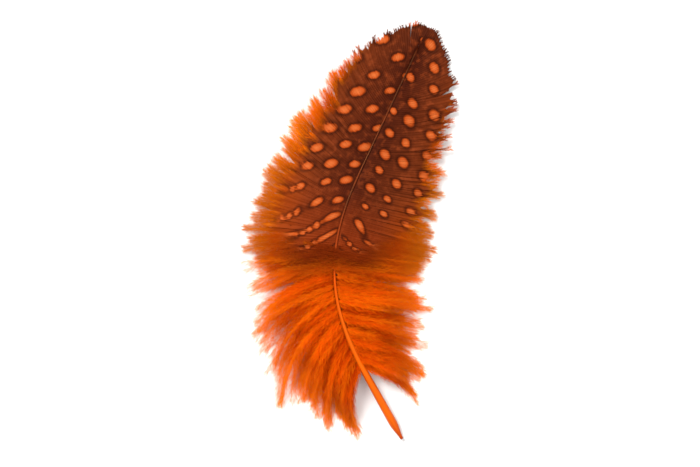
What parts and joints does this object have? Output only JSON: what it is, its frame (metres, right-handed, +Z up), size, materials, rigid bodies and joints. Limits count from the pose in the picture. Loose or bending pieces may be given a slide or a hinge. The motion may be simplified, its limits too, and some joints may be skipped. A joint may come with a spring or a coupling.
{
  "type": "guinea fowl feather",
  "caption": "Small spotted guinea fowl body feather, dyed orange: curved quill and shaft, closed dotted vanes, a downy skirt at the base and a downy afterfeather beneath.",
  "frame": {"origin": "on the surface the feather lies on, straight under the shaft, 15 mm along it from the quill's tip", "axes": "+Z up out of the feather's face, +Y from the quill towards the tip, +X to the right seen from above"},
  "size_m": [0.0238, 0.0481, 0.0043],
  "materials": {
    "shaft_keratin": "satin dyed keratin, translucent at the quill",
    "vane_barbs": "dark brown closed barbs with rows of small orange spots",
    "downy_barbs": "soft matt dyed down"
  },
  "bodies": {
    "root": {"shaft": "shaft_keratin", "vane_left": "vane_barbs", "vane_right": "vane_barbs", "down_left": "downy_barbs", "down_right": "downy_barbs", "afterfeather": "downy_barbs"}
  },
  "joints": []
}
